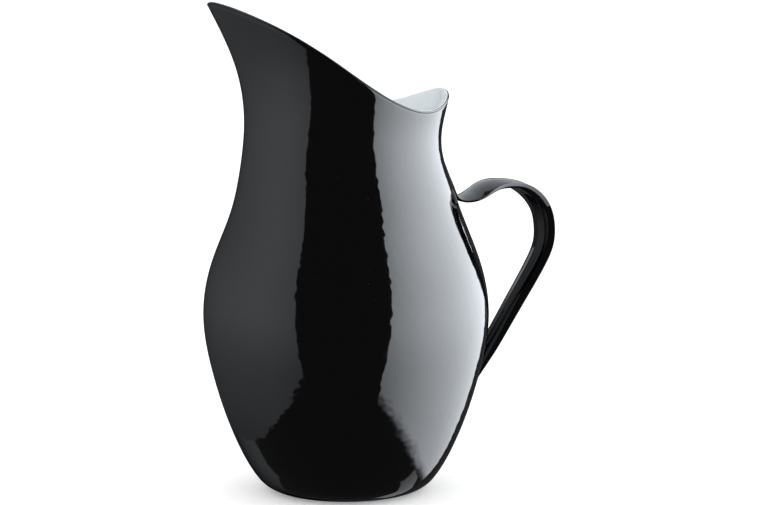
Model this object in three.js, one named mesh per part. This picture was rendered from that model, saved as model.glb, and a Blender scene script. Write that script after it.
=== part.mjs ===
// Enamelled steel water jug with a raised pouring lip and a flanged strap handle.
// Millimetres, +Z up. The origin is the centre of the flat base, the handle points along +X
// and the pouring lip along -X.
import * as THREE from 'three';
import { mergeVertices } from 'three/addons/utils/BufferGeometryUtils.js';

// Driving dimensions
const TOTAL_HEIGHT = 240;
const BASE_FLAT_RADIUS = 29.5;
const BASE_CORNER_RADIUS = 18.3;
const BASE_CORNER_SWEEP = THREE.MathUtils.degToRad(52);

// The wall is a stack: outer enamel, steel and inner enamel, with a hair gap between neighbours.
const ENAMEL_THICKNESS = 0.3;
const STEEL_THICKNESS = 0.7;
const LAYER_GAP = 0.1;
const WALL_THICKNESS = 2 * ENAMEL_THICKNESS + STEEL_THICKNESS + 2 * LAYER_GAP;

// Outside profile as [height, radius]: the belly is round, the collar differs front and back.
const BELLY_PROFILE = [[22, 52.8], [38, 59.4], [58, 65.5], [86, 70.1], [114, 65.6], [138, 56.4]];
const BACK_COLLAR = [[154, 50.8], [167, 47.0], [179, 47.0], [190, 49.4], [200, 51.4]];
const LIP_COLLAR = [[154, 52.6], [167, 50.7], [179, 49.7], [195, 50.5], [210, 54.1], [225, 60.4],
  [TOTAL_HEIGHT, 68.1]];
const COLLAR_START = 138;
const LIP_BLEND_POWER = 1.11;

// Height of the rim by angle from the handle, in degrees.
const RIM_HEIGHTS = [[0, 197.1], [30, 192.1], [60, 188.8], [90, 198.1], [120, 216.8], [150, 233.3],
  [180, TOTAL_HEIGHT]];
const RIM_BAND_HEIGHT = 1.1;
const RIM_BAND_CLEARANCE = 0.2;

// The handle strap: a tongue welded to the collar, a flat leaf, an arch, a straight leg and a tab.
const STRAP_HALF_DEPTH = 2.3;
const STRAP_FLAT_HALF_DEPTH = 0.6;
const STRAP_CROWN = 0.4;
const STRAP_CUSHION = 0.4;
const STRAP_CORNER_RADIUS = 0.35;
const STRAP_SIDE_HEIGHT = 1.3;
const STRAP_SIDE_LEAN = THREE.MathUtils.degToRad(17.5);
const STRAP_ROLL_ACROSS = 4.2;
const TAB_STANDOFF = 1.4;
const TONGUE_TOP = 160;
const TAB_BOTTOM = 38.5;

// Spot welds under the strap's two ends: flat nuggets, named with their heights.
const WELD_RADIUS = 2.4;
const WELD_THICKNESS = 0.45;
const WELD_STANDOFF = 0.2;
const WELD_HEIGHTS = {
  upper_weld_a: 156.5, upper_weld_b: 151, lower_weld_a: 45.8, lower_weld_b: 41.1,
};

// Tessellation
const AROUND = 36;
const BELLY_RINGS = 9;
const COLLAR_RINGS = 9;
const CORNER_RINGS = 2;
const STRAP_STATIONS = 46;
const STRAP_ROLL_STEPS = 4;
const WELD_SIDES = 16;

// A cubic spline through the points, with the given end slopes or natural ends.
function cubicSpline(points, startSlope = null, endSlope = null) {
  const count = points.length;
  const xs = points.map((p) => p[0]);
  const ys = points.map((p) => p[1]);
  const step = (i) => xs[i + 1] - xs[i];
  const rise = (i) => (ys[i + 1] - ys[i]) / step(i);
  const lower = new Array(count).fill(0);
  const diagonal = new Array(count).fill(1);
  const upper = new Array(count).fill(0);
  const rhs = new Array(count).fill(0);
  for (let i = 1; i < count - 1; i += 1) {
    lower[i] = step(i - 1);
    diagonal[i] = 2 * (step(i - 1) + step(i));
    upper[i] = step(i);
    rhs[i] = 6 * (rise(i) - rise(i - 1));
  }
  if (startSlope !== null) {
    diagonal[0] = 2 * step(0);
    upper[0] = step(0);
    rhs[0] = 6 * (rise(0) - startSlope);
  }
  if (endSlope !== null) {
    const last = count - 1;
    lower[last] = step(last - 1);
    diagonal[last] = 2 * step(last - 1);
    rhs[last] = 6 * (endSlope - rise(last - 1));
  }
  for (let i = 1; i < count; i += 1) {
    const factor = lower[i] / diagonal[i - 1];
    diagonal[i] -= factor * upper[i - 1];
    rhs[i] -= factor * rhs[i - 1];
  }
  const bend = new Array(count).fill(0);
  bend[count - 1] = rhs[count - 1] / diagonal[count - 1];
  for (let i = count - 2; i >= 0; i -= 1) {
    bend[i] = (rhs[i] - upper[i] * bend[i + 1]) / diagonal[i];
  }
  return (x) => {
    let i = 0;
    while (i < count - 2 && x > xs[i + 1]) i += 1;
    const h = step(i);
    const a = (xs[i + 1] - x) / h;
    const b = (x - xs[i]) / h;
    const curve = ((a ** 3 - a) * bend[i] + (b ** 3 - b) * bend[i + 1]) * (h * h) / 6;
    return a * ys[i] + b * ys[i + 1] + curve;
  };
}

// Outside shape of the body: the base corner is an arc, and the wall leaves it on its tangent.
const CORNER_TOP = BASE_CORNER_RADIUS * (1 - Math.cos(BASE_CORNER_SWEEP));
const CORNER_OUT = BASE_FLAT_RADIUS + BASE_CORNER_RADIUS * Math.sin(BASE_CORNER_SWEEP);
const CORNER_SLOPE = 1 / Math.tan(BASE_CORNER_SWEEP);
const wallStart = [[CORNER_TOP, CORNER_OUT], ...BELLY_PROFILE];
const backRadius = cubicSpline([...wallStart, ...BACK_COLLAR], CORNER_SLOPE);
const lipRadius = cubicSpline([...wallStart, ...LIP_COLLAR], CORNER_SLOPE);
const rimByAngle = cubicSpline(RIM_HEIGHTS, 0, 0);

function angleFromHandle(angle) {
  return Math.acos(THREE.MathUtils.clamp(Math.cos(angle), -1, 1));
}

function rimHeight(angle) {
  return rimByAngle(THREE.MathUtils.radToDeg(angleFromHandle(angle)));
}

function bodyRadius(height, angle) {
  const back = backRadius(Math.min(height, BACK_COLLAR[BACK_COLLAR.length - 1][0]));
  const share = ((1 - Math.cos(angle)) / 2) ** LIP_BLEND_POWER;
  return back + (lipRadius(height) - back) * share;
}

function wallPoint(height, angle) {
  const radius = bodyRadius(height, angle);
  return new THREE.Vector3(radius * Math.cos(angle), radius * Math.sin(angle), height);
}

// Frame of the wall: the inward normal and the direction up the wall.
function wallFrame(height, angle) {
  const delta = 1e-3;
  const up = wallPoint(height + delta, angle).sub(wallPoint(height - delta, angle)).normalize();
  const round = wallPoint(height, angle + delta).sub(wallPoint(height, angle - delta)).normalize();
  const inward = new THREE.Vector3().crossVectors(up, round).normalize();
  return { inward, up };
}

// A point of the body's outside, moved inwards by depth. Row 0 is the flat base's edge.
const ROWS = CORNER_RINGS + BELLY_RINGS + COLLAR_RINGS;
function shellPoint(row, angle, depth) {
  if (row <= CORNER_RINGS) {
    const sweep = BASE_CORNER_SWEEP * row / CORNER_RINGS;
    const radius = BASE_FLAT_RADIUS + (BASE_CORNER_RADIUS - depth) * Math.sin(sweep);
    const height = BASE_CORNER_RADIUS - (BASE_CORNER_RADIUS - depth) * Math.cos(sweep);
    return new THREE.Vector3(radius * Math.cos(angle), radius * Math.sin(angle), height);
  }
  const bellyRow = row - CORNER_RINGS;
  let height = THREE.MathUtils.lerp(CORNER_TOP, COLLAR_START, bellyRow / BELLY_RINGS);
  if (bellyRow > BELLY_RINGS) {
    const share = (bellyRow - BELLY_RINGS) / COLLAR_RINGS;
    const top = rimHeight(angle) - RIM_BAND_HEIGHT;
    height = THREE.MathUtils.lerp(COLLAR_START, top, share);
  }
  return wallPoint(height, angle).addScaledVector(wallFrame(height, angle).inward, depth);
}

// Turns a list of closed rings of equal length into one closed body, with a fan at each end.
// From turnRing on the quads are split the other way, so that a wall's two faces match.
function loft(rings, startCentre, endCentre, turnRing = rings.length) {
  const size = rings[0].length;
  const points = [startCentre, ...rings.flat(), endCentre];
  const at = (ring, k) => 1 + ring * size + (k % size);
  const faces = [];
  for (let k = 0; k < size; k += 1) {
    faces.push(0, at(0, k + 1), at(0, k));
    for (let ring = 0; ring < rings.length - 1; ring += 1) {
      const corners = [at(ring, k), at(ring, k + 1), at(ring + 1, k + 1), at(ring + 1, k)];
      const [a, b, c, d] = ring < turnRing ? corners : [...corners.slice(1), corners[0]];
      faces.push(a, b, d, b, c, d);
    }
    faces.push(at(rings.length - 1, k), at(rings.length - 1, k + 1), points.length - 1);
  }
  return meshFrom(points, faces);
}

function meshFrom(points, faces) {
  const geometry = new THREE.BufferGeometry();
  geometry.setAttribute('position', new THREE.Float32BufferAttribute(
    points.flatMap((p) => [p.x, p.y, p.z]), 3));
  geometry.setIndex(faces);
  const merged = mergeVertices(geometry);
  merged.computeVertexNormals();
  return merged;
}

// An open vessel between two depths below the body's outside surface.
function vesselLayer(outerDepth, innerDepth) {
  const ringAt = (row, depth) => Array.from({ length: AROUND }, (_, k) => (
    shellPoint(row, 2 * Math.PI * k / AROUND, depth)));
  const rings = [];
  for (let row = 0; row <= ROWS; row += 1) rings.push(ringAt(row, outerDepth));
  for (let row = ROWS; row >= 0; row -= 1) rings.push(ringAt(row, innerDepth));
  const bottoms = [outerDepth, innerDepth].map((depth) => new THREE.Vector3(0, 0, depth));
  return loft(rings, bottoms[0], bottoms[1], ROWS + 1);
}

// The band over the trimmed edge: as wide as the wall, flat below and rounded on top.
function rimBand() {
  const half = WALL_THICKNESS / 2;
  const crownHeight = RIM_BAND_HEIGHT - RIM_BAND_CLEARANCE - 0.25;
  const outline = [[0, RIM_BAND_CLEARANCE], [0, RIM_BAND_HEIGHT - crownHeight]];
  for (const turn of [135, 90, 45]) {
    const t = THREE.MathUtils.degToRad(turn);
    outline.push([half + half * Math.cos(t), RIM_BAND_HEIGHT - crownHeight * (1 - Math.sin(t))]);
  }
  outline.push([WALL_THICKNESS, RIM_BAND_HEIGHT - crownHeight], [WALL_THICKNESS, RIM_BAND_CLEARANCE]);
  const size = outline.length;
  const points = [];
  const faces = [];
  for (let k = 0; k < AROUND; k += 1) {
    const angle = 2 * Math.PI * k / AROUND;
    const height = rimHeight(angle) - RIM_BAND_HEIGHT;
    const { inward, up } = wallFrame(height, angle);
    for (const [depth, rise] of outline) {
      points.push(wallPoint(height, angle).addScaledVector(inward, depth).addScaledVector(up, rise));
    }
    const next = (k + 1) % AROUND;
    for (let i = 0; i < size; i += 1) {
      const j = (i + 1) % size;
      faces.push(k * size + i, next * size + i, next * size + j);
      faces.push(k * size + i, next * size + j, k * size + j);
    }
  }
  return meshFrom(points, faces);
}

// Stations of the strap: x, z, half width and half depth. The ends lie against the body.
const besideBody = (height, standoff) => backRadius(height) + standoff;
const STRAP_ROUTE = [
  [besideBody(TONGUE_TOP, TAB_STANDOFF), TONGUE_TOP, 4.6, STRAP_FLAT_HALF_DEPTH],
  [besideBody(154, TAB_STANDOFF), 154, 6.0, STRAP_FLAT_HALF_DEPTH],
  [besideBody(148, TAB_STANDOFF + 0.2), 148, 7.5, STRAP_FLAT_HALF_DEPTH],
  [56.9, 143.2, 10.3, STRAP_FLAT_HALF_DEPTH],
  [61.3, 143.2, 12.9, STRAP_FLAT_HALF_DEPTH],
  [65.6, 144.6, 14.0, STRAP_FLAT_HALF_DEPTH],
  [71.4, 147.4, 14.3, 1.0],
  [76.9, 149.2, 13.9, 1.4],
  [83.2, 149.4, 13.4, 1.7],
  [89.8, 148.2, 12.8, 1.9],
  [95.4, 145.1, 12.5, 2.1],
  [100.2, 140.4, 11.7, 2.25],
  [103.7, 134.1, 10.8, STRAP_HALF_DEPTH],
  [105.1, 126.8, 10.4, STRAP_HALF_DEPTH],
  [104.6, 118.4, 9.8, STRAP_HALF_DEPTH],
  [100.6, 109, 9.4, STRAP_HALF_DEPTH],
  [88.5, 88.9, 8.6, STRAP_HALF_DEPTH],
  [76.6, 69.6, 7.9, STRAP_HALF_DEPTH],
  [72.7, 63.3, 7.6, 2.1],
  [69.6, 57.6, 6.9, 1.6],
  [66.4, 51.8, 6.6, 1.0],
  [besideBody(46.5, TAB_STANDOFF + 0.2), 46.5, 6.2, STRAP_FLAT_HALF_DEPTH],
  [besideBody(42.5, TAB_STANDOFF + 0.1), 42.5, 5.9, STRAP_FLAT_HALF_DEPTH],
  [besideBody(TAB_BOTTOM, TAB_STANDOFF), TAB_BOTTOM, 5.6, STRAP_FLAT_HALF_DEPTH],
];

// The strap's route as splines over the distance along it.
function strapRoute() {
  const along = [0];
  for (let i = 1; i < STRAP_ROUTE.length; i += 1) {
    const [x, z] = STRAP_ROUTE[i];
    const [beforeX, beforeZ] = STRAP_ROUTE[i - 1];
    along.push(along[i - 1] + Math.hypot(x - beforeX, z - beforeZ));
  }
  const track = (column) => cubicSpline(STRAP_ROUTE.map((row, i) => [along[i], row[column]]));
  const [x, z, half, depth] = [0, 1, 2, 3].map(track);
  return { x, z, half, depth, length: along[along.length - 1] };
}

// How far a section has grown from the flat ends (0) to the full leg (1).
const strapFullness = (depth) => (depth - STRAP_FLAT_HALF_DEPTH) / (STRAP_HALF_DEPTH - STRAP_FLAT_HALF_DEPTH);

// The strap's section as [offset across, rise outwards]: a slightly crowned outer face with crisp
// edges, sides that lean in a little, and an inner face that rolls from the sides to a low cushion.
function strapSection(half, depth) {
  const full = strapFullness(depth);
  const swell = (share) => (1 + Math.cos(Math.PI * share)) / 2;
  const outerFlat = half - STRAP_CORNER_RADIUS;
  const side = [[outerFlat * 0.5, depth + STRAP_CROWN * full * swell(0.5)]];
  for (const turn of [Math.PI / 2, Math.PI / 4, 0]) {
    side.push([outerFlat + STRAP_CORNER_RADIUS * Math.cos(turn),
      depth - STRAP_CORNER_RADIUS * (1 - Math.sin(turn))]);
  }
  const lean = STRAP_SIDE_LEAN * full;
  const sideHeight = STRAP_SIDE_HEIGHT * full;
  const rollAcross = THREE.MathUtils.lerp(STRAP_FLAT_HALF_DEPTH, STRAP_ROLL_ACROSS, full);
  const rollHeight = 2 * depth - STRAP_CORNER_RADIUS - sideHeight;
  const rollStart = Math.asin(Math.sin(lean) * rollHeight / rollAcross);
  const rollRise = rollHeight / (1 - Math.sin(rollStart));
  const innerFlat = half - sideHeight * Math.tan(lean) - rollAcross * Math.cos(rollStart);
  for (let i = 0; i <= STRAP_ROLL_STEPS; i += 1) {
    const turn = THREE.MathUtils.lerp(rollStart, Math.PI / 2, i / STRAP_ROLL_STEPS);
    side.push([innerFlat + rollAcross * Math.cos(turn), rollRise * (1 - Math.sin(turn)) - depth]);
  }
  side.push([innerFlat * 0.5, -depth - STRAP_CUSHION * full * swell(0.5)]);
  const mirrored = side.map(([across, out]) => [-across, out]).reverse();
  return [[0, depth + STRAP_CROWN * full], ...side, [0, -depth - STRAP_CUSHION * full], ...mirrored];
}

function handleStrap() {
  const route = strapRoute();
  const rings = [];
  const centres = [];
  const delta = 1e-3;
  for (let i = 0; i <= STRAP_STATIONS; i += 1) {
    const s = route.length * i / STRAP_STATIONS;
    const tangent = new THREE.Vector3(route.x(s + delta) - route.x(s - delta), 0,
      route.z(s + delta) - route.z(s - delta)).normalize();
    const out = new THREE.Vector3(-tangent.z, 0, tangent.x);
    const across = new THREE.Vector3().crossVectors(tangent, out);
    const centre = new THREE.Vector3(route.x(s), 0, route.z(s));
    const half = route.half(s);
    const depth = Math.max(STRAP_FLAT_HALF_DEPTH, Math.min(STRAP_HALF_DEPTH, route.depth(s)));
    // Flat stretches curl round the body, so that their edges lie as close as their middle.
    const curl = (1 - strapFullness(depth)) / (2 * backRadius(centre.z));
    rings.push(strapSection(half, depth).map(([offset, rise]) => (
      centre.clone().addScaledVector(across, offset)
        .addScaledVector(out, rise - curl * offset * offset))));
    centres.push(centre);
  }
  return loft(rings, centres[0], centres[centres.length - 1]);
}

// A flat nugget that stands on the body's outside under the strap.
function weldNugget(height) {
  const { inward } = wallFrame(height, 0);
  const disc = new THREE.CylinderGeometry(WELD_RADIUS, WELD_RADIUS, WELD_THICKNESS, WELD_SIDES);
  disc.deleteAttribute('normal');
  disc.deleteAttribute('uv');
  const centre = wallPoint(height, 0).addScaledVector(inward, -WELD_STANDOFF - WELD_THICKNESS / 2);
  const turn = new THREE.Quaternion().setFromUnitVectors(new THREE.Vector3(0, 1, 0), inward);
  return mergeVertices(disc.applyQuaternion(turn).translate(centre.x, centre.y, centre.z));
}

const black = new THREE.MeshStandardMaterial({ color: 0x08090b, roughness: 0.1, metalness: 0 });
const white = new THREE.MeshStandardMaterial({ color: 0xe9ecec, roughness: 0.12, metalness: 0 });
const steel = new THREE.MeshStandardMaterial({ color: 0x9a9da1, roughness: 0.45, metalness: 1 });

function piece(name, geometry, material) {
  const mesh = new THREE.Mesh(geometry, material);
  mesh.name = name;
  return mesh;
}

const steelDepth = ENAMEL_THICKNESS + LAYER_GAP;
const liningDepth = steelDepth + STEEL_THICKNESS + LAYER_GAP;

const jug = new THREE.Group();
jug.add(piece('outer_enamel', vesselLayer(0, ENAMEL_THICKNESS), black));
jug.add(piece('body_shell', vesselLayer(steelDepth, steelDepth + STEEL_THICKNESS), steel));
jug.add(piece('inner_enamel', vesselLayer(liningDepth, WALL_THICKNESS), white));
jug.add(piece('rim_enamel', rimBand(), black));
jug.add(piece('handle_strap', handleStrap(), black));
for (const [name, height] of Object.entries(WELD_HEIGHTS)) {
  jug.add(piece(name, weldNugget(height), steel));
}

export default jug;
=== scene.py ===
"""Enamelled steel water jug: a black and white glass coat over a drawn body, and a strap handle.

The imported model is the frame. The classes below make the fine surfaces that stand for its nodes.
"""

from __future__ import annotations

import logging
import math
from dataclasses import dataclass, field
from enum import Enum
from typing import Any, Sequence

import bpy
import numpy as np
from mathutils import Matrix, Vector

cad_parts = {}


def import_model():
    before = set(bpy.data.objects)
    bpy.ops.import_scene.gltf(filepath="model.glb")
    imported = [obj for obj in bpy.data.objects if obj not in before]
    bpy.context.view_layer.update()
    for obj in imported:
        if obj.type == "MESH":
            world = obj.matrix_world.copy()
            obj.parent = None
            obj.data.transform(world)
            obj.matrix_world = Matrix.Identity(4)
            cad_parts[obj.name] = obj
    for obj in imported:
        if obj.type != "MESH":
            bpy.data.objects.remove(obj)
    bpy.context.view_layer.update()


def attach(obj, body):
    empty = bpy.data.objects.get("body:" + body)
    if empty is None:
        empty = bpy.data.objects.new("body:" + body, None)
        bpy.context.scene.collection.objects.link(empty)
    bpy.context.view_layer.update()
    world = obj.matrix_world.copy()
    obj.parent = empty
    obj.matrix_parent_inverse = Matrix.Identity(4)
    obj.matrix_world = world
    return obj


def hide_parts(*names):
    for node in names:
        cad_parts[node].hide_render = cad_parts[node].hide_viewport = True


MM = 0.001
BODY = "root"
BLACK_SLOT = "black_enamel"
WHITE_SLOT = "white_enamel"
STEEL_SLOT = "sheet_steel"
NIB_HEIGHT_SHARE = 0.55
WELD_SIDES = 24

Array = np.ndarray
log = logging.getLogger("jug")


class Layer(Enum):
    """The layers of the wall, each with the CAD node that it stands for."""

    OUTER_COAT = "outer_enamel"
    STEEL = "body_shell"
    INNER_COAT = "inner_enamel"


# ---------------------------------------------------------------------------
# Small helpers


def linear(code: str) -> tuple[float, float, float, float]:
    """Turns an sRGB hex colour into linear RGBA.

    Args:
        code: Six hex digits, such as "1a2b3c".

    Returns:
        Linear red, green, blue and an alpha of 1.
    """
    values = [int(code[i : i + 2], 16) / 255 for i in (0, 2, 4)]
    red, green, blue = (v / 12.92 if v <= 0.04045 else ((v + 0.055) / 1.055) ** 2.4 for v in values)
    return red, green, blue, 1.0


def add_node(
    tree: bpy.types.NodeTree, kind: str, inputs: dict[Any, Any] | None = None, **settings: Any
) -> Any:
    """Adds a node, sets its properties, and sets or links its inputs.

    Args:
        tree: The node tree.
        kind: The node's type name.
        inputs: Input name or index to a value, or to another node's output socket.
        **settings: Properties of the node.

    Returns:
        The new node.
    """
    node = tree.nodes.new(kind)
    for name, value in settings.items():
        setattr(node, name, value)
    for key, value in (inputs or {}).items():
        if isinstance(value, bpy.types.NodeSocket):
            tree.links.new(value, node.inputs[key])
        else:
            node.inputs[key].default_value = value
    return node


def new_object(name: str, mesh: bpy.types.Mesh) -> bpy.types.Object:
    """Links a mesh into the scene as an object at the origin."""
    piece = bpy.data.objects.new(name, mesh)
    bpy.context.scene.collection.objects.link(piece)
    return piece


def mesh_piece(
    name: str, points: Array, faces: Sequence[Sequence[int]], sharp: float = math.radians(35)
) -> bpy.types.Object:
    """Makes a smooth-shaded object from points in millimetres.

    Args:
        name: The piece's name.
        points: One row for each vertex, in millimetres.
        faces: Vertex indices of each face.
        sharp: Edges that turn by more than this angle, in radians, stay crisp.

    Returns:
        The new object.
    """
    mesh = bpy.data.meshes.new(name)
    mesh.from_pydata((np.asarray(points) * MM).tolist(), [], faces)
    mesh.validate()
    mesh.shade_smooth()
    mesh.set_sharp_from_angle(angle=sharp)
    return new_object(name, mesh)


def loft(rings: Array, start: Array | None, end: Array | None) -> tuple[Array, list[tuple[int, ...]]]:
    """Joins closed rings of equal length into one closed body.

    Args:
        rings: Array of (ring, point, xyz).
        start: Centre of the fan that closes the first ring, or None for a flat face.
        end: Centre of the fan that closes the last ring, or None for a flat face.

    Returns:
        The points and the faces.
    """
    count, size = rings.shape[:2]
    points = rings.reshape(-1, 3)
    faces: list[tuple[int, ...]] = []
    for ring in range(count - 1):
        low, high = ring * size, (ring + 1) * size
        for k in range(size):
            nxt = (k + 1) % size
            faces.append((low + k, low + nxt, high + nxt, high + k))
    last = (count - 1) * size
    for centre, base, flip in ((start, 0, True), (end, last, False)):
        loop = [base + k for k in range(size)]
        if centre is None:
            faces.append(tuple(reversed(loop)) if flip else tuple(loop))
            continue
        points = np.vstack([points, centre])
        hub = len(points) - 1
        for k in range(size):
            a, b = loop[k], loop[(k + 1) % size]
            faces.append((hub, b, a) if flip else (hub, a, b))
    return points, faces


def smooth_step(x: Array | float, low: float, high: float) -> Array:
    """Rises smoothly from 0 at low to 1 at high.

    Args:
        x: Where to read the step.
        low: Where it starts to rise.
        high: Where it reaches 1.

    Returns:
        The step's height, from 0 to 1.
    """
    t = np.clip((np.asarray(x, float) - low) / (high - low), 0, 1)
    return t * t * (3 - 2 * t)


class CubicSpline:
    """A cubic spline through points, with given or natural end slopes."""

    def __init__(
        self,
        points: Sequence[Sequence[float]],
        start_slope: float | None = None,
        end_slope: float | None = None,
    ) -> None:
        """Solves for the bends at the points.

        Args:
            points: (x, y) pairs with x rising.
            start_slope: Slope at the first point, or None for no bend there.
            end_slope: Slope at the last point, or None for no bend there.
        """
        self.x, self.y = (np.array(column, float) for column in zip(*points))
        step = np.diff(self.x)
        rise = np.diff(self.y) / step
        count = len(self.x)
        matrix = np.eye(count)
        target = np.zeros(count)
        for i in range(1, count - 1):
            matrix[i, i - 1 : i + 2] = step[i - 1], 2 * (step[i - 1] + step[i]), step[i]
            target[i] = 6 * (rise[i] - rise[i - 1])
        if start_slope is not None:
            matrix[0, :2] = 2 * step[0], step[0]
            target[0] = 6 * (rise[0] - start_slope)
        if end_slope is not None:
            matrix[-1, -2:] = step[-1], 2 * step[-1]
            target[-1] = 6 * (end_slope - rise[-1])
        self.bend = np.linalg.solve(matrix, target)

    def __call__(self, x: Array | float) -> Array:
        """The curve's height at x."""
        x = np.asarray(x, float)
        i = np.clip(np.searchsorted(self.x, x) - 1, 0, len(self.x) - 2)
        h = self.x[i + 1] - self.x[i]
        a = (self.x[i + 1] - x) / h
        b = (x - self.x[i]) / h
        curve = ((a**3 - a) * self.bend[i] + (b**3 - b) * self.bend[i + 1]) * h * h / 6
        return a * self.y[i] + b * self.y[i + 1] + curve


# ---------------------------------------------------------------------------
# Shape of the body


@dataclass(frozen=True)
class JugOutline:
    """Outside surface of the body, in millimetres, as in the CAD source."""

    base_flat_radius: float = 29.5
    base_corner_radius: float = 18.3
    base_corner_sweep: float = math.radians(52)
    belly: tuple = ((22, 52.8), (38, 59.4), (58, 65.5), (86, 70.1), (114, 65.6), (138, 56.4))
    back_collar: tuple = ((154, 50.8), (167, 47.0), (179, 47.0), (190, 49.4), (200, 51.4))
    lip_collar: tuple = (
        (154, 52.6), (167, 50.7), (179, 49.7), (195, 50.5), (210, 54.1), (225, 60.4), (240, 68.1),
    )
    collar_start: float = 138
    lip_blend_power: float = 1.11
    rim_heights: tuple = (
        (0, 197.1), (30, 192.1), (60, 188.8), (90, 198.1), (120, 216.8), (150, 233.3), (180, 240),
    )
    rim_band_height: float = 1.1
    back: CubicSpline = field(init=False)
    lip: CubicSpline = field(init=False)
    rim: CubicSpline = field(init=False)

    def __post_init__(self) -> None:
        """Solves the three splines from the outline's points."""
        start = ((self.corner_top, self.corner_out), *self.belly)
        slope = 1 / math.tan(self.base_corner_sweep)
        object.__setattr__(self, "back", CubicSpline((*start, *self.back_collar), slope))
        object.__setattr__(self, "lip", CubicSpline((*start, *self.lip_collar), slope))
        object.__setattr__(self, "rim", CubicSpline(self.rim_heights, 0, 0))

    @property
    def corner_top(self) -> float:
        """Height at which the base corner's arc meets the wall."""
        return self.base_corner_radius * (1 - math.cos(self.base_corner_sweep))

    @property
    def corner_out(self) -> float:
        """Radius at which the base corner's arc meets the wall."""
        return self.base_flat_radius + self.base_corner_radius * math.sin(self.base_corner_sweep)

    def rim_height(self, angle: Array) -> Array:
        """Height of the outer coat's edge band at an angle from the handle, in radians."""
        return self.rim(np.degrees(np.arccos(np.clip(np.cos(angle), -1, 1))))

    def radius(self, height: Array, angle: Array) -> Array:
        """Outside radius at a height and an angle from the handle."""
        back = self.back(np.minimum(height, self.back_collar[-1][0]))
        share = ((1 - np.cos(angle)) / 2) ** self.lip_blend_power
        return back + (self.lip(height) - back) * share

    def point(self, height: Array, angle: Array) -> Array:
        """Points of the outside surface, with xyz last."""
        height, angle = np.broadcast_arrays(np.asarray(height, float), np.asarray(angle, float))
        radius = self.radius(height, angle)
        return np.stack([radius * np.cos(angle), radius * np.sin(angle), height], -1)

    def frame(self, height: Array, angle: Array) -> tuple[Array, Array]:
        """Directions at a point of the wall.

        Args:
            height: Height of the point.
            angle: Angle from the handle, in radians.

        Returns:
            The inward normal and the direction up the wall, both of length 1.
        """
        delta = 1e-3
        height, angle = np.asarray(height, float), np.asarray(angle, float)
        up = self.point(height + delta, angle) - self.point(height - delta, angle)
        around = self.point(height, angle + delta) - self.point(height, angle - delta)
        up /= np.linalg.norm(up, axis=-1, keepdims=True)
        inward = np.cross(up, around)
        inward /= np.linalg.norm(inward, axis=-1, keepdims=True)
        return inward, up


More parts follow.
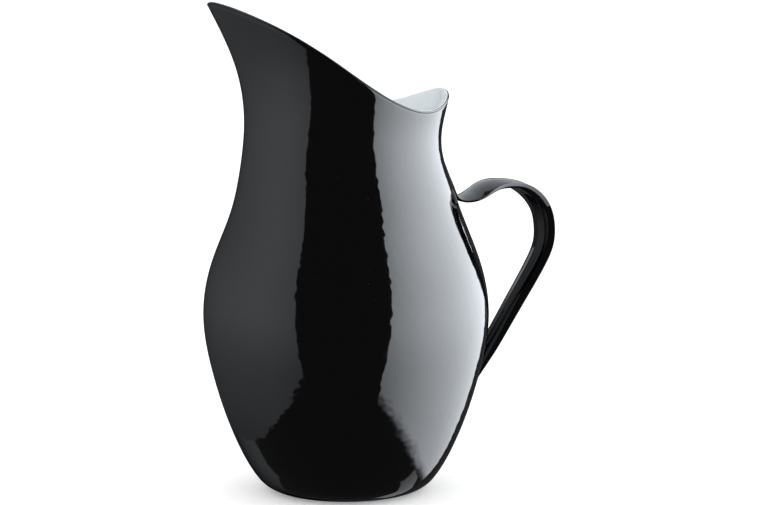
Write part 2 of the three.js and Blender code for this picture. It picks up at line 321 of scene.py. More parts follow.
@dataclass
class Vessel:
    """The body: two enamel coats on a drawn steel shell, and the dark band on its edge."""

    outline: JugOutline
    enamel: float = 0.3
    steel: float = 0.7
    gap: float = 0.1
    around: int = 192
    base_rings: int = 4
    corner_rings: int = 12
    belly_rings: int = 58
    collar_rings: int = 46
    band_radius: float = 0.5
    band_depth: float = 0.48
    band_rise: float = 0.62
    coat_edge: tuple = ((0.04, 0.1), (0.15, 0.14), (0.26, 0.1))
    lining_tuck: float = 0.12
    lining_drop: float = 0.04
    lining_shoulder: tuple = ((0, 0.24), (0.08, 0.06))
    lining_stretch: float = 1.3
    lining_turns: tuple = (100, 75, 50, 25)

    @property
    def wall(self) -> float:
        """Thickness of the whole wall."""
        return 2 * self.enamel + self.steel + 2 * self.gap

    @property
    def angles(self) -> Array:
        """Angles of the columns of points, from the handle."""
        return np.arange(self.around) * 2 * math.pi / self.around

    def edge_point(self, depth: float, rise: float) -> Array:
        """A ring of points near the edge.

        Args:
            depth: Distance inwards from the outside surface.
            rise: Distance up the wall from the foot of the edge band.

        Returns:
            One point for each column.
        """
        height = self.outline.rim_height(self.angles) - self.outline.rim_band_height
        inward, up = self.outline.frame(height, self.angles)
        return self.outline.point(height, self.angles) + depth * inward + rise * up

    def surface(self, depth: float) -> Array:
        """One face of a layer from the base to the edge.

        Args:
            depth: Distance inwards from the outside surface.

        Returns:
            Array of (row, column, xyz), without the point on the axis.
        """
        shape, angle = self.outline, self.angles
        rows = []
        for ring in range(1, self.base_rings):
            radius = shape.base_flat_radius * ring / self.base_rings
            rows.append(np.stack([radius * np.cos(angle), radius * np.sin(angle), 0 * angle + depth], -1))
        for ring in range(self.corner_rings + 1):
            sweep = shape.base_corner_sweep * ring / self.corner_rings
            inner = shape.base_corner_radius - depth
            radius = shape.base_flat_radius + inner * math.sin(sweep)
            height = shape.base_corner_radius - inner * math.cos(sweep)
            rows.append(np.stack([radius * np.cos(angle), radius * np.sin(angle), 0 * angle + height], -1))
        heights = [
            shape.corner_top + (shape.collar_start - shape.corner_top) * ring / self.belly_rings + 0 * angle
            for ring in range(1, self.belly_rings + 1)
        ]
        top = shape.rim_height(angle) - shape.rim_band_height
        heights += [
            shape.collar_start + (top - shape.collar_start) * ring / self.collar_rings
            for ring in range(1, self.collar_rings + 1)
        ]
        for height in heights:
            rows.append(shape.point(height, angle) + depth * shape.frame(height, angle)[0])
        return np.array(rows)

    def layer(self, layer: Layer) -> bpy.types.Object:
        """Builds one layer of the wall as a closed, open-topped shell.

        Args:
            layer: Which layer.

        Returns:
            The new object.
        """
        steel_depth = self.enamel + self.gap
        lining_depth = steel_depth + self.steel + self.gap
        outer, inner, edge = {
            Layer.OUTER_COAT: (0, self.enamel, self.coat_edge),
            Layer.STEEL: (steel_depth, steel_depth + self.steel, ()),
            Layer.INNER_COAT: (lining_depth, self.wall, self.lining_edge(lining_depth)),
        }[layer]
        crown = [self.edge_point(depth, rise) for depth, rise in edge]
        rings = np.array([*self.surface(outer), *crown, *self.surface(inner)[::-1]])
        points, faces = loft(rings, np.array([0, 0, outer]), np.array([0, 0, inner]))
        return mesh_piece(f"{layer.value}_wall", points, faces)

    def lining_edge(self, depth: float) -> list[tuple[float, float]]:
        """The white coat's rounded edge, which runs over the steel to the dark band.

        Args:
            depth: Distance of the coat's outer face from the outside surface.

        Returns:
            The edge as (depth, rise) pairs, from the steel to the inside.
        """
        tuck = self.lining_tuck
        reach = self.band_depth + self.band_radius - tuck
        crest = self.outline.rim_band_height - self.lining_drop
        shoulder = [(reach + across, crest - down) for across, down in self.lining_shoulder]
        outline = [(depth, tuck), (reach, tuck), *shoulder]
        middle = (reach + self.wall) / 2
        half = (self.wall - reach) / 2
        drop = half * self.lining_stretch
        for turn in self.lining_turns:
            angle = math.radians(turn)
            outline.append((middle + half * math.cos(angle), crest - drop * (1 - math.sin(angle))))
        return outline

    def band(self, finish: bpy.types.Material) -> bpy.types.Object:
        """The dark enamel bead that runs along the trimmed edge, swept by Geometry Nodes."""
        ring = self.edge_point(self.band_depth, self.band_rise)
        count = len(ring)
        path = bpy.data.meshes.new("edge_path")
        path.from_pydata((ring * MM).tolist(), [(k, (k + 1) % count) for k in range(count)], [])
        carrier = new_object("rim_band", path)
        tree = sweep_tree(finish)
        sizes = {"Bead radius": self.band_radius * MM, "Bead sides": 20}
        return run_nodes(carrier, tree, sizes)


# ---------------------------------------------------------------------------
# Geometry Nodes


def new_geometry_tree(name: str, inputs: dict[str, tuple[str, Any]]) -> bpy.types.NodeTree:
    """Starts a geometry node tree.

    Args:
        name: The tree's name.
        inputs: Input name to its socket type and its starting value.

    Returns:
        The tree, with its Geometry input and output.
    """
    tree = bpy.data.node_groups.new(name, "GeometryNodeTree")
    tree.interface.new_socket("Geometry", in_out="INPUT", socket_type="NodeSocketGeometry")
    tree.interface.new_socket("Geometry", in_out="OUTPUT", socket_type="NodeSocketGeometry")
    for label, (kind, value) in inputs.items():
        socket = tree.interface.new_socket(label, in_out="INPUT", socket_type=kind)
        socket.default_value = value
    return tree


def close_geometry_tree(tree: bpy.types.NodeTree, geometry: Any, finish: bpy.types.Material) -> None:
    """Ends a tree in Realize Instances and Set Material.

    Args:
        tree: The geometry node tree.
        geometry: Output socket of the geometry to finish.
        finish: The material to set.
    """
    real = add_node(tree, "GeometryNodeRealizeInstances", {"Geometry": geometry})
    dressed = add_node(
        tree, "GeometryNodeSetMaterial", {"Geometry": real.outputs["Geometry"], "Material": finish}
    )
    add_node(tree, "NodeGroupOutput", {"Geometry": dressed.outputs["Geometry"]})


def run_nodes(
    carrier: bpy.types.Object,
    tree: bpy.types.NodeTree,
    sizes: dict[str, Any],
    sharp: float = math.radians(50),
) -> bpy.types.Object:
    """Runs a tree on an object and keeps the result as its plain mesh.

    Args:
        carrier: The object that holds the tree's input geometry.
        tree: The geometry node tree.
        sizes: Input name to value.
        sharp: Edges that turn by more than this angle, in radians, stay crisp.

    Returns:
        The same object, with no modifier left on it.
    """
    modifier = carrier.modifiers.new(tree.name, "NODES")
    modifier.node_group = tree
    for item in tree.interface.items_tree:
        if item.in_out == "INPUT" and item.name in sizes:
            modifier[item.identifier] = sizes[item.name]
    evaluated = carrier.evaluated_get(bpy.context.evaluated_depsgraph_get())
    mesh = bpy.data.meshes.new_from_object(evaluated)
    carrier.modifiers.clear()
    mesh.name = carrier.name
    carrier.data = mesh
    mesh.shade_smooth()
    mesh.set_sharp_from_angle(angle=sharp)
    return carrier


def sweep_tree(finish: bpy.types.Material) -> bpy.types.NodeTree:
    """A round bead along the edges of the input mesh."""
    tree = new_geometry_tree(
        "edge_bead", {"Bead radius": ("NodeSocketFloat", 0.0005), "Bead sides": ("NodeSocketInt", 16)}
    )
    given = add_node(tree, "NodeGroupInput")
    path = add_node(tree, "GeometryNodeMeshToCurve", {"Mesh": given.outputs["Geometry"]})
    section = add_node(
        tree,
        "GeometryNodeCurvePrimitiveCircle",
        {"Resolution": given.outputs["Bead sides"], "Radius": given.outputs["Bead radius"]},
        mode="RADIUS",
    )
    bead = add_node(
        tree,
        "GeometryNodeCurveToMesh",
        {"Curve": path.outputs["Curve"], "Profile Curve": section.outputs["Curve"]},
    )
    close_geometry_tree(tree, bead.outputs["Mesh"], finish)
    return tree


def nugget_tree(finish: bpy.types.Material) -> bpy.types.NodeTree:
    """A flat round weld nugget on each point, turned to the point's "outward" direction."""
    tree = new_geometry_tree(
        "weld_nuggets",
        {"Nugget radius": ("NodeSocketFloat", 0.0024), "Nugget thickness": ("NodeSocketFloat", 0.00045)},
    )
    given = add_node(tree, "NodeGroupInput")
    disc = add_node(
        tree,
        "GeometryNodeMeshCylinder",
        {
            "Vertices": WELD_SIDES,
            "Radius": given.outputs["Nugget radius"],
            "Depth": given.outputs["Nugget thickness"],
        },
    )
    outward = add_node(
        tree, "GeometryNodeInputNamedAttribute", {"Name": "outward"}, data_type="FLOAT_VECTOR"
    )
    turn = add_node(
        tree, "FunctionNodeAlignRotationToVector", {"Vector": outward.outputs["Attribute"]}, axis="Z"
    )
    placed = add_node(
        tree,
        "GeometryNodeInstanceOnPoints",
        {
            "Points": given.outputs["Geometry"],
            "Instance": disc.outputs["Mesh"],
            "Rotation": turn.outputs["Rotation"],
        },
    )
    close_geometry_tree(tree, placed.outputs["Instances"], finish)
    return tree


def nib_tree(finish: bpy.types.Material) -> bpy.types.NodeTree:
    """Small domes scattered over the input surface, as dust leaves in a fired coat."""
    tree = new_geometry_tree(
        "enamel_nibs",
        {
            "Nibs per square metre": ("NodeSocketFloat", 3000.0),
            "Smallest radius": ("NodeSocketFloat", 0.0001),
            "Largest radius": ("NodeSocketFloat", 0.0003),
            "Seed": ("NodeSocketInt", 1),
        },
    )
    given = add_node(tree, "NodeGroupInput")
    spread = add_node(
        tree,
        "GeometryNodeDistributePointsOnFaces",
        {
            "Mesh": given.outputs["Geometry"],
            "Density": given.outputs["Nibs per square metre"],
            "Seed": given.outputs["Seed"],
        },
        distribute_method="RANDOM",
    )
    size = add_node(
        tree,
        "FunctionNodeRandomValue",
        {
            2: given.outputs["Smallest radius"],
            3: given.outputs["Largest radius"],
            "Seed": given.outputs["Seed"],
        },
        data_type="FLOAT",
    )
    flat = add_node(tree, "ShaderNodeCombineXYZ", {"X": size.outputs[1], "Y": size.outputs[1]})
    height = add_node(
        tree, "ShaderNodeMath", {0: size.outputs[1], 1: NIB_HEIGHT_SHARE}, operation="MULTIPLY"
    )
    tree.links.new(height.outputs[0], flat.inputs["Z"])
    dome = add_node(tree, "GeometryNodeMeshIcoSphere", {"Radius": 1.0, "Subdivisions": 1})
    placed = add_node(
        tree,
        "GeometryNodeInstanceOnPoints",
        {
            "Points": spread.outputs["Points"],
            "Instance": dome.outputs["Mesh"],
            "Rotation": spread.outputs["Rotation"],
            "Scale": flat.outputs["Vector"],
        },
    )
    close_geometry_tree(tree, placed.outputs["Instances"], finish)
    return tree


# ---------------------------------------------------------------------------
# Handle


@dataclass
class StrapHandle:
    """The strap: a tongue on the collar, a leaf, an arch, a straight leg and a tab on the belly."""

    outline: JugOutline
    full_depth: float = 2.3
    flat_depth: float = 0.6
    crown: float = 0.4
    cushion: float = 0.4
    corner: float = 0.35
    side_height: float = 1.3
    side_lean: float = math.radians(17.5)
    roll_across: float = 4.2
    standoff: float = 1.4
    tongue_top: float = 160
    tab_bottom: float = 38.5
    stations: int = 240
    corner_steps: int = 5
    roll_steps: int = 16
    face_steps: int = 10
    weld_heights: tuple = (156.5, 151, 45.8, 41.1)
    weld_radius: float = 2.4
    weld_thickness: float = 0.45
    weld_standoff: float = 0.2
    crisp_angle: float = math.radians(12)
    fuse_near: float = 0.25
    fuse_far: float = 1.6
    underside_share: float = 0.25
    foot_sink: float = 0.05
    fillet: float = 1.1
    fillet_across: float = 4

    def beside(self, height: float, standoff: float) -> float:
        """A distance from the axis that is standoff outside the body, on the handle's side."""
        return float(self.outline.back(height)) + standoff

    @property
    def stops(self) -> list[tuple[float, float, float, float]]:
        """Stations of the strap as x, z, half width and half depth."""
        flat, full, near = self.flat_depth, self.full_depth, self.standoff
        return [
            (self.beside(self.tongue_top, near), self.tongue_top, 4.6, flat),
            (self.beside(154, near), 154, 6.0, flat),
            (self.beside(148, near + 0.2), 148, 7.5, flat),
            (56.9, 143.2, 10.3, flat),
            (61.3, 143.2, 12.9, flat),
            (65.6, 144.6, 14.0, flat),
            (71.4, 147.4, 14.3, 1.0),
            (76.9, 149.2, 13.9, 1.4),
            (83.2, 149.4, 13.4, 1.7),
            (89.8, 148.2, 12.8, 1.9),
            (95.4, 145.1, 12.5, 2.1),
            (100.2, 140.4, 11.7, 2.25),
            (103.7, 134.1, 10.8, full),
            (105.1, 126.8, 10.4, full),
            (104.6, 118.4, 9.8, full),
            (100.6, 109, 9.4, full),
            (88.5, 88.9, 8.6, full),
            (76.6, 69.6, 7.9, full),
            (72.7, 63.3, 7.6, 2.1),
            (69.6, 57.6, 6.9, 1.6),
            (66.4, 51.8, 6.6, 1.0),
            (self.beside(46.5, near + 0.2), 46.5, 6.2, flat),
            (self.beside(42.5, near + 0.1), 42.5, 5.9, flat),
            (self.beside(self.tab_bottom, near), self.tab_bottom, 5.6, flat),
        ]

    def fullness(self, depth: float) -> float:
        """How far a section has grown from the flat ends (0) to the full leg (1)."""
        return (depth - self.flat_depth) / (self.full_depth - self.flat_depth)

    def section(self, half: float, depth: float) -> Array:
        """The strap's section, as rows of (offset across, rise outwards).

        The outer face is slightly crowned with crisp edges. The sides lean in a little, and the
        inner face rolls from them to a low cushion.

        Args:
            half: Half of the strap's width.
            depth: Half of its depth.

        Returns:
            A closed outline that starts at the middle of the outer face.
        """
        full = self.fullness(depth)
        lean = self.side_lean * full
        side_height = self.side_height * full
        across = self.flat_depth + (self.roll_across - self.flat_depth) * full
        roll_height = 2 * depth - self.corner - side_height
        start = math.asin(math.sin(lean) * roll_height / across)
        rise = roll_height / (1 - math.sin(start))
        outer = half - self.corner
        inner = half - side_height * math.tan(lean) - across * math.cos(start)
        steps = np.arange(1, self.face_steps) / self.face_steps
        swell = (1 + np.cos(np.pi * steps)) / 2
        turn = np.linspace(np.pi / 2, 0, self.corner_steps + 1)
        roll = np.linspace(start, np.pi / 2, self.roll_steps + 1)
        side = np.vstack(
            [
                np.stack([outer * steps, depth + self.crown * full * swell], -1),
                np.stack(
                    [outer + self.corner * np.cos(turn), depth - self.corner * (1 - np.sin(turn))], -1
                ),
                np.stack([inner + across * np.cos(roll), rise * (1 - np.sin(roll)) - depth], -1),
                np.stack([inner * steps, -depth - self.cushion * full * swell], -1)[::-1],
            ]
        )
        outside, inside = (0, depth + self.crown * full), (0, -depth - self.cushion * full)
        return np.vstack([[outside], side, [inside], side[::-1] * [-1, 1]])

    def strap(self) -> bpy.types.Object:
        """Sweeps the section along the route and fuses its flat ends to the body."""
        stops = self.stops
        along = [0.0]
        for (x0, z0, *_), (x1, z1, *_) in zip(stops, stops[1:]):
            along.append(along[-1] + math.hypot(x1 - x0, z1 - z0))
        tracks = [CubicSpline([(s, row[i]) for s, row in zip(along, stops)]) for i in range(4)]
        distance = np.linspace(0, along[-1], self.stations + 1)
        rings = []
        delta = 1e-3
        for s in distance:
            x, z, half, depth = (float(track(s)) for track in tracks)
            depth = min(self.full_depth, max(self.flat_depth, depth))
            tangent = np.array([tracks[i](s + delta) - tracks[i](s - delta) for i in (0, 1)])
            tangent /= np.linalg.norm(tangent)
            out = np.array([-tangent[1], 0, tangent[0]])
            section = self.section(half, depth)
            curl = (1 - self.fullness(depth)) / (2 * float(self.outline.back(z)))
            rise = section[:, 1] - curl * section[:, 0] ** 2
            ring = np.array([x, 0, z]) + rise[:, None] * out
            ring[:, 1] -= section[:, 0]
            rings.append(self.fuse(ring, section, depth, x, z))
        points, faces = loft(np.array(rings), None, None)
        return mesh_piece("strap_handle", points, faces, self.crisp_angle)

    def fuse(self, ring: Array, section: Array, depth: float, x: float, z: float) -> Array:
        """Draws the underside of a flat end down onto the body, as the fired coat does.

        Args:
            ring: Points of one section, in place.
            section: The same points as (offset, rise).
            depth: Half of the section's depth.
            x: Distance of the section's middle from the axis.
            z: Height of the section's middle.

        Returns:
            The moved points.
        """
        clear = x - float(self.outline.back(z))
        closeness = 1 - smooth_step(clear, self.standoff + self.fuse_near, self.standoff + self.fuse_far)
        share = np.clip(-section[:, 1] / depth + self.underside_share, 0, 1) * closeness
        angle = np.arctan2(ring[:, 1], ring[:, 0])
        spread = np.clip(np.abs(section[:, 0]) / self.fillet_across, 0, 1)
        flare = 1 + self.fillet * spread / np.maximum(np.hypot(ring[:, 0], ring[:, 1]), 1)
        foot = self.outline.point(ring[:, 2], angle * flare)
        foot += self.foot_sink * self.outline.frame(ring[:, 2], angle * flare)[0]
        return ring + share[:, None] * (foot - ring)

    def welds(self, finish: bpy.types.Material) -> bpy.types.Object:
        """The spot weld nuggets under the strap's ends."""
        heights = np.array(self.weld_heights, float)
        inward, _ = self.outline.frame(heights, 0 * heights)
        middle = -(self.weld_standoff + self.weld_thickness / 2)
        centres = self.outline.point(heights, 0 * heights) + middle * inward
        mesh = bpy.data.meshes.new("weld_points")
        mesh.from_pydata((centres * MM).tolist(), [], [])
        outward = mesh.attributes.new("outward", "FLOAT_VECTOR", "POINT")
        outward.data.foreach_set("vector", (-inward).ravel())
        sizes = {"Nugget radius": self.weld_radius * MM, "Nugget thickness": self.weld_thickness * MM}
        return run_nodes(new_object("spot_welds", mesh), nugget_tree(finish), sizes)


@dataclass
class EnamelNibs:
    """Tiny raised grains on the fired black coat."""

    vessel: Vessel
    per_square_metre: float = 5200
    smallest: float = 0.05
    largest: float = 0.17
    seed: int = 7

    def build(self, finish: bpy.types.Material) -> bpy.types.Object:
        """Scatters the nibs over the outside of the wall, above the base."""
        surface = self.vessel.surface(0)[self.vessel.base_rings + self.vessel.corner_rings :]
        rows, columns = surface.shape[:2]
        faces = [
            (r * columns + k, r * columns + (k + 1) % columns,
             (r + 1) * columns + (k + 1) % columns, (r + 1) * columns + k)
            for r in range(rows - 2)
            for k in range(columns)
        ]
        carrier = mesh_piece("enamel_nibs", surface.reshape(-1, 3), faces)
        sizes = {
            "Nibs per square metre": self.per_square_metre,
            "Smallest radius": self.smallest * MM,
            "Largest radius": self.largest * MM,
            "Seed": self.seed,
        }
        return run_nodes(carrier, nib_tree(finish), sizes)


# ---------------------------------------------------------------------------
# Finishes


@dataclass(frozen=True)
class Ripple:
    """One scale of unevenness in a surface: its spacing and its height in millimetres."""

    spacing: float
    height: float
    detail: float = 0.0


def surface_height(tree: bpy.types.NodeTree, place: Any, ripples: Sequence[Ripple]) -> Any:
    """Adds up the ripples of a surface.

    Args:
        tree: The material's node tree.
        place: Output socket of the point's position, in metres.
        ripples: The scales of unevenness.

    Returns:
        Output socket of the height, in metres.
    """
    total: Any = 0.0
    for ripple in ripples:
        noise = add_node(
            tree,
            "ShaderNodeTexNoise",
            {"Vector": place, "Scale": 1 / (ripple.spacing * MM), "Detail": ripple.detail},
        )
        step = add_node(
            tree,
            "ShaderNodeMath",
            {0: noise.outputs["Fac"], 1: ripple.height * MM, 2: total},
            operation="MULTIPLY_ADD",
        )
        total = step.outputs[0]
    return total


@dataclass(frozen=True)
class GlassEnamel:
    """Vitreous enamel: glass frit dipped onto steel and fired to a mirror gloss.

    It gives the eye sharp, bright reflections over a flat colour. Their edges waver a little,
    because the fired coat follows the drawn steel and its own slow flow.
    """

    name: str
    colour: str
    roughness: float
    ior: float = 1.5
    ripples: tuple[Ripple, ...] = (Ripple(36, 0.3), Ripple(10, 0.07), Ripple(3.2, 0.04))
    patch_spacing: float = 28
    patch_detail: float = 3.0
    patch_span: tuple[float, float] = (0.35, 0.7)
    gloss_spread: tuple[float, float] = (0.8, 1.35)

    def material(self) -> bpy.types.Material:
        """Builds the material."""
        made = bpy.data.materials.new(self.name)
        made.use_nodes = True
        tree = made.node_tree
        tree.nodes.clear()
        place = add_node(tree, "ShaderNodeTexCoord").outputs["Object"]
        height = surface_height(tree, place, self.ripples)
        bump = add_node(tree, "ShaderNodeBump", {"Height": height, "Distance": 1.0, "Strength": 1.0})
        patches = add_node(
            tree,
            "ShaderNodeTexNoise",
            {"Vector": place, "Scale": 1 / (self.patch_spacing * MM), "Detail": self.patch_detail},
        )
        rough = add_node(
            tree,
            "ShaderNodeMapRange",
            {
                "Value": patches.outputs["Fac"],
                "From Min": self.patch_span[0],
                "From Max": self.patch_span[1],
                "To Min": self.roughness * self.gloss_spread[0],
                "To Max": self.roughness * self.gloss_spread[1],
            },
        )
        shader = add_node(
            tree,
            "ShaderNodeBsdfPrincipled",
            {
                "Base Color": linear(self.colour),
                "Roughness": rough.outputs["Result"],
                "IOR": self.ior,
                "Normal": bump.outputs["Normal"],
            },
        )
        add_node(tree, "ShaderNodeOutputMaterial", {"Surface": shader.outputs["BSDF"]})
        return made


@dataclass(frozen=True)
class DrawnSteel:
    """Cold-rolled sheet steel. It gives the eye a dull grey sheen with fine lines from the press."""

    name: str = "Cold-rolled sheet steel"
    colour: str = "8d9093"
    roughness: float = 0.42
    line_spacing: float = 0.8
    line_stretch: float = 0.08
    line_detail: float = 4.0
    line_depth: float = 0.01
    line_strength: float = 0.6
    gloss_spread: tuple[float, float] = (0.8, 1.25)

    def material(self) -> bpy.types.Material:
        """Builds the material."""
        made = bpy.data.materials.new(self.name)
        made.use_nodes = True
        tree = made.node_tree
        tree.nodes.clear()
        place = add_node(tree, "ShaderNodeTexCoord").outputs["Object"]
        scale = (1, 1, self.line_stretch)
        stretched = add_node(tree, "ShaderNodeMapping", {"Vector": place, "Scale": scale})
        lines = add_node(
            tree,
            "ShaderNodeTexNoise",
            {
                "Vector": stretched.outputs["Vector"],
                "Scale": 1 / (self.line_spacing * MM),
                "Detail": self.line_detail,
            },
        )
        rough = add_node(
            tree,
            "ShaderNodeMapRange",
            {
                "Value": lines.outputs["Fac"],
                "To Min": self.roughness * self.gloss_spread[0],
                "To Max": self.roughness * self.gloss_spread[1],
            },
        )
        bump = add_node(
            tree,
            "ShaderNodeBump",
            {
                "Height": lines.outputs["Fac"],
                "Distance": self.line_depth * MM,
                "Strength": self.line_strength,
            },
        )
        shader = add_node(
            tree,
            "ShaderNodeBsdfPrincipled",
            {
                "Base Color": linear(self.colour),
                "Metallic": 1.0,
                "Roughness": rough.outputs["Result"],
                "Normal": bump.outputs["Normal"],
            },
        )
        add_node(tree, "ShaderNodeOutputMaterial", {"Surface": shader.outputs["BSDF"]})
        return made


# ---------------------------------------------------------------------------
# Studio


@dataclass(frozen=True)
class Screen:
    """A curved diffusion screen that stands round the jug, brightest in its middle.

    Its place is given by directions from the jug, in degrees: azimuth to the right of the line to
    the camera, and elevation above the level.

    Attributes:
        name: The screen's name.
        start: Azimuth of its left side.
        end: Azimuth of its right side.
        top: Elevation of its upper edge.
        bottom: Elevation of its lower edge, at the azimuth called lowest.
        lowest: Azimuth where the lower edge is lowest.
        bottom_rise: Rise of the lower edge at bend_span degrees from there.
        middle: Azimuth where the screen is brightest.
        reach: How fast it dims on both sides of the middle.
        glow: Its greatest brightness.
        lower_share: Share of the glow that its lowest part keeps.
        lean: Azimuth that its sides gain for each degree of elevation.
        fade: Height over which its lower edge fades in.
        radius: Distance from the jug's axis, in metres.
        height: Height that elevations are taken from, in metres.
        columns: Faces across.
        rows: Faces up.
        bend_span: Azimuth over which the lower edge gains bottom_rise.
        dim_span: Elevations between which the glow grows to its full share.
    """

    name: str
    start: float
    end: float
    top: float
    bottom: float
    lowest: float
    bottom_rise: float
    middle: float
    reach: float
    glow: float
    lower_share: float = 1.0
    lean: float = 0.0
    fade: float = 0.0
    radius: float = 0.75
    height: float = 0.11
    columns: int = 48
    rows: int = 90
    bend_span: float = 50
    dim_span: tuple[float, float] = (-48, 4)

    def brightness(self, azimuth: float, elevation: float) -> float:
        """Brightness of the screen in a direction.

        Args:
            azimuth: Azimuth before the sides lean.
            elevation: Elevation.

        Returns:
            The emission strength.
        """
        side = math.exp(-(((azimuth - self.middle) / self.reach) ** 2))
        level = float(smooth_step(elevation, *self.dim_span))
        low = self.bottom_at(azimuth)
        edge = float(smooth_step(elevation, low, low + self.fade)) if self.fade else 1.0
        return self.glow * side * edge * (self.lower_share + (1 - self.lower_share) * level)

    def bottom_at(self, azimuth: float) -> float:
        """Elevation of the lower edge, which rises on both sides of its lowest point."""
        return self.bottom + self.bottom_rise * ((azimuth - self.lowest) / self.bend_span) ** 2


@dataclass
class Studio:
    """A pale floor, soft screens left and right, a light above, and the camera."""

    azimuth: float = -20.0
    elevation: float = 7.07
    distance: float = 1.2
    lens: float = 116.34
    sensor: float = 36.0
    aim_aside: float = 0.01614
    aim_height: float = 0.11757
    screen_colour: str = "eef4fa"
    pale: str = "ffffff"
    floor_radius: float = 14.0
    floor_sides: int = 64
    floor_roughness: float = 0.9
    floor_glow: float = 0.25
    room_light: float = 1.22
    room_gloss: float = 0.05
    top_size: tuple[float, float] = (1.6, 1.2)
    top_power: float = 20
    top_turn: float = 150
    top_back: float = 0.3
    top_height: float = 1.9
    screens: tuple[Screen, ...] = (
        Screen(
            "right_screen", start=35.5, end=146, top=62, bottom=-49.5, lowest=95, bottom_rise=6,
            middle=88, reach=62, glow=9.2, lower_share=0.5, lean=0.12, fade=5,
        ),
        Screen(
            "left_screen", start=-154, end=-38.5, top=62, bottom=-40.9, lowest=-85, bottom_rise=9,
            middle=-62, reach=56, glow=1.25, lower_share=0.4, lean=-0.08,
        ),
        Screen(
            "back_card", start=158, end=208, top=50, bottom=7, lowest=180, bottom_rise=0,
            middle=183, reach=60, glow=0.78,
        ),
        Screen(
            "low_card", start=108, end=166, top=-47, bottom=-58, lowest=137, bottom_rise=3,
            middle=137, reach=60, glow=0.9,
        ),
        Screen(
            "left_low_card", start=-176, end=-116, top=-22, bottom=-49, lowest=-146, bottom_rise=0,
            middle=-110, reach=29, glow=0.33, radius=0.8,
        ),
    )

    def direction(self, azimuth: float) -> Vector:
        """Level direction at an angle to the right of the line from the jug to the camera."""
        turn = math.radians(self.azimuth + azimuth)
        return Vector((math.sin(turn), -math.cos(turn), 0))

    def camera(self) -> None:
        """Places the camera and makes it the scene's."""
        data = bpy.data.cameras.new("camera")
        data.lens = self.lens
        data.sensor_width = self.sensor
        camera = bpy.data.objects.new("camera", data)
        bpy.context.scene.collection.objects.link(camera)
        aim = self.direction(90) * self.aim_aside + Vector((0, 0, self.aim_height))
        rise = math.radians(self.elevation)
        back = self.direction(0) * math.cos(rise) + Vector((0, 0, math.sin(rise)))
        camera.location = aim + back * self.distance
        camera.rotation_euler = (-back).to_track_quat("-Z", "Y").to_euler()
        bpy.context.scene.camera = camera

    def screen(self, spec: Screen) -> None:
        """Builds one glowing screen. Only its light and its mirror image are seen."""
        points: list[Vector] = []
        glow: list[float] = []
        for i in range(spec.columns + 1):
            for j in range(spec.rows + 1):
                plain = spec.start + (spec.end - spec.start) * i / spec.columns
                low = spec.bottom_at(plain)
                elevation = low + (spec.top - low) * j / spec.rows
                azimuth = plain + spec.lean * elevation
                rise = spec.radius * math.tan(math.radians(elevation))
                points.append(self.direction(azimuth) * spec.radius + Vector((0, 0, spec.height + rise)))
                glow.append(spec.brightness(plain, elevation))
        side = spec.rows + 1
        faces = [
            (i * side + j, i * side + j + 1, (i + 1) * side + j + 1, (i + 1) * side + j)
            for i in range(spec.columns)
            for j in range(spec.rows)
        ]
        mesh = bpy.data.meshes.new(spec.name)
        mesh.from_pydata(points, [], faces)
        mesh.attributes.new("glow", "FLOAT", "POINT").data.foreach_set("value", glow)
        paint = bpy.data.materials.new("Lit diffusion screen")
        paint.use_nodes = True
        tree = paint.node_tree
        tree.nodes.clear()
        strength = add_node(tree, "ShaderNodeAttribute", attribute_name="glow")
        light = add_node(
            tree,
            "ShaderNodeEmission",
            {"Color": linear(self.screen_colour), "Strength": strength.outputs["Fac"]},
        )
        add_node(tree, "ShaderNodeOutputMaterial", {"Surface": light.outputs[0]})
        mesh.materials.append(paint)
        screen = new_object(spec.name, mesh)
        screen.visible_camera = False
        screen.visible_diffuse = False
        screen.visible_shadow = False

    def overhead(self) -> None:
        """Makes the soft light above the jug."""
        data = bpy.data.lights.new("top_light", "AREA")
        data.shape = "RECTANGLE"
        data.size, data.size_y = self.top_size
        data.energy = self.top_power
        light = bpy.data.objects.new("top_light", data)
        bpy.context.scene.collection.objects.link(light)
        light.location = self.direction(self.top_turn) * self.top_back + Vector((0, 0, self.top_height))
        light.visible_diffuse = False

    def floor(self) -> None:
        """Makes the pale floor, which the gloss doesn't mirror.

        It glows faintly, as a light table does, so the shadow on it stays soft and faint.
        """
        turns = [2 * math.pi * k / self.floor_sides for k in range(self.floor_sides)]
        points = [
            (self.floor_radius * math.cos(turn), self.floor_radius * math.sin(turn), 0) for turn in turns
        ]
        mesh = bpy.data.meshes.new("floor")
        mesh.from_pydata(points, [], [tuple(range(self.floor_sides))])
        floor = new_object("floor", mesh)
        paint = bpy.data.materials.new("Matt white studio floor")
        paint.use_nodes = True
        shader = paint.node_tree.nodes["Principled BSDF"]
        shader.inputs["Base Color"].default_value = linear(self.pale)
        shader.inputs["Roughness"].default_value = self.floor_roughness
        shader.inputs["Specular IOR Level"].default_value = 0.0
        shader.inputs["Emission Color"].default_value = linear(self.pale)
        shader.inputs["Emission Strength"].default_value = self.floor_glow
        mesh.materials.append(paint)
        floor.visible_glossy = False
        floor.visible_shadow = False

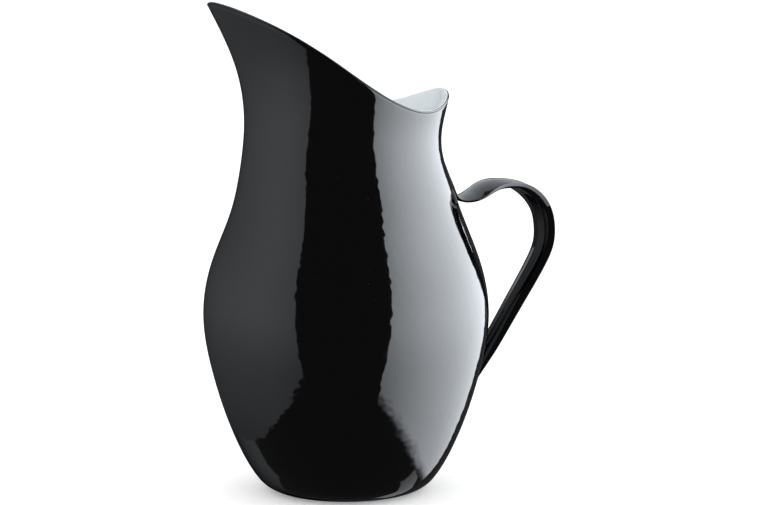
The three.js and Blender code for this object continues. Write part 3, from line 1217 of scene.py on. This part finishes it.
    def world(self) -> None:
        """Pale surroundings for the floor and the camera, and a dark room for the gloss."""
        world = bpy.data.worlds.new("studio")
        bpy.context.scene.world = world
        world.use_nodes = True
        tree = world.node_tree
        tree.nodes.clear()
        path = add_node(tree, "ShaderNodeLightPath")
        pale, dark = (
            add_node(tree, "ShaderNodeBackground", {"Color": linear(self.pale), "Strength": strength})
            for strength in (self.room_light, self.room_gloss)
        )
        mixed = add_node(
            tree,
            "ShaderNodeMixShader",
            {0: path.outputs["Is Glossy Ray"], 1: pale.outputs[0], 2: dark.outputs[0]},
        )
        add_node(tree, "ShaderNodeOutputWorld", {"Surface": mixed.outputs[0]})

    def build(self) -> None:
        """Makes the whole studio."""
        self.camera()
        for spec in self.screens:
            self.screen(spec)
        self.overhead()
        self.floor()
        self.world()
        bpy.context.scene.view_settings.view_transform = "Standard"


# ---------------------------------------------------------------------------
# The whole jug


def settle(
    piece: bpy.types.Object,
    nodes: Sequence[str],
    finish: bpy.types.Material | None = None,
) -> None:
    """Hands a piece to the frame and reports it.

    Args:
        piece: The finished object.
        nodes: The CAD nodes that it stands for.
        finish: Its material, if it has none yet.
    """
    if finish is not None:
        piece.data.materials.append(finish)
    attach(piece, BODY)
    if nodes:
        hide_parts(*nodes)
    log.info("%s: %d faces", piece.name, len(piece.data.polygons))


def build_jug() -> None:
    """Builds every piece of the jug in order."""
    outline = JugOutline()
    vessel = Vessel(outline)
    handle = StrapHandle(outline)
    # Black coat: nearly no colour of its own, so it shows what stands round it.
    black = GlassEnamel("Black vitreous enamel", "040405", 0.045).material()
    # White coat inside: a cool, clean white with a slightly softer gloss.
    white = GlassEnamel("White vitreous enamel", "e6ebee", 0.07).material()
    # Bare steel between the coats and in the welds: a dull metal grey.
    steel = DrawnSteel().material()
    for layer, slot, finish in (
        (Layer.OUTER_COAT, BLACK_SLOT, black),
        (Layer.STEEL, STEEL_SLOT, steel),
        (Layer.INNER_COAT, WHITE_SLOT, white),
    ):
        settle(vessel.layer(layer), [layer.value], finish)
    settle(vessel.band(black), ["rim_enamel"])
    settle(handle.strap(), ["handle_strap"], black)
    welds = ["upper_weld_a", "upper_weld_b", "lower_weld_a", "lower_weld_b"]
    settle(handle.welds(steel), welds)
    settle(EnamelNibs(vessel).build(black), [])


def main() -> None:
    """Loads the frame, builds the studio and the jug."""
    logging.basicConfig(level=logging.INFO, format="%(name)s: %(message)s")
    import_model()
    Studio().build()
    build_jug()


if __name__ == "__main__":
    main()
